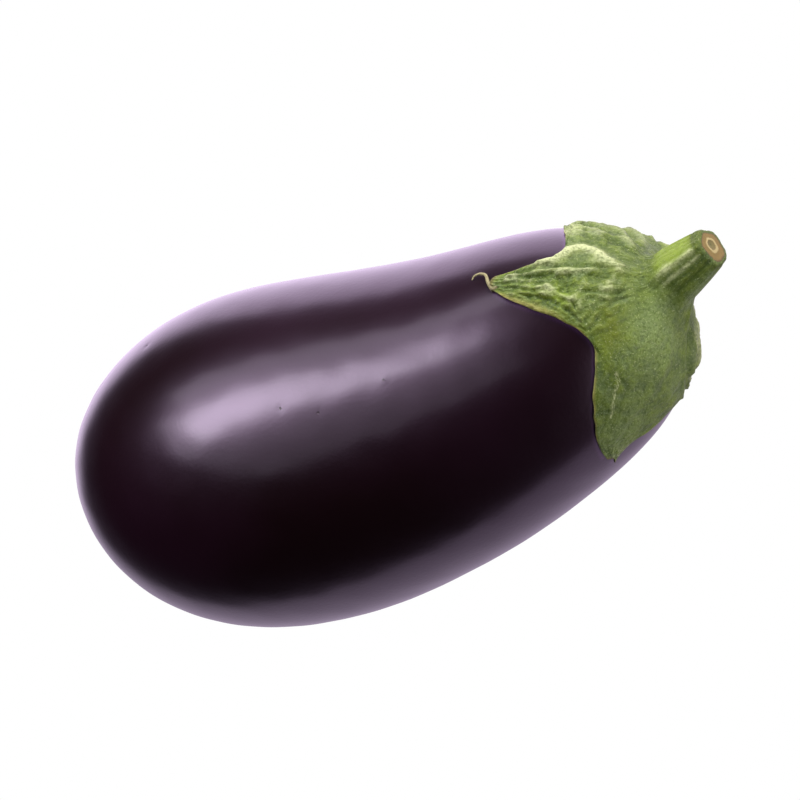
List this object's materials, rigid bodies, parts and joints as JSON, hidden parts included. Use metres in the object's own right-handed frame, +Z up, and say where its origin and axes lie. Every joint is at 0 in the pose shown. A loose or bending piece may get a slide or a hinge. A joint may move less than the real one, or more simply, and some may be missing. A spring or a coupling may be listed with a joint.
{
  "type": "eggplant",
  "caption": "Whole fresh eggplant lying on its side: a glossy dark purple pear-shaped fruit, slightly bent, with a green pointed calyx and a short cut stem.",
  "frame": {"origin": "on the ground, under the middle of the bounding box of the eggplant as it lies", "axes": "+X along the fruit towards its stem, +Z up, +Y to the hollow side of the fruit's bend"},
  "size_m": [0.2022, 0.0966, 0.0971],
  "materials": {
    "fruit_skin": "glossy",
    "green_cap": "matte"
  },
  "bodies": {
    "root": {"fruit": "fruit_skin", "calyx_and_stem": "green_cap"}
  },
  "joints": []
}
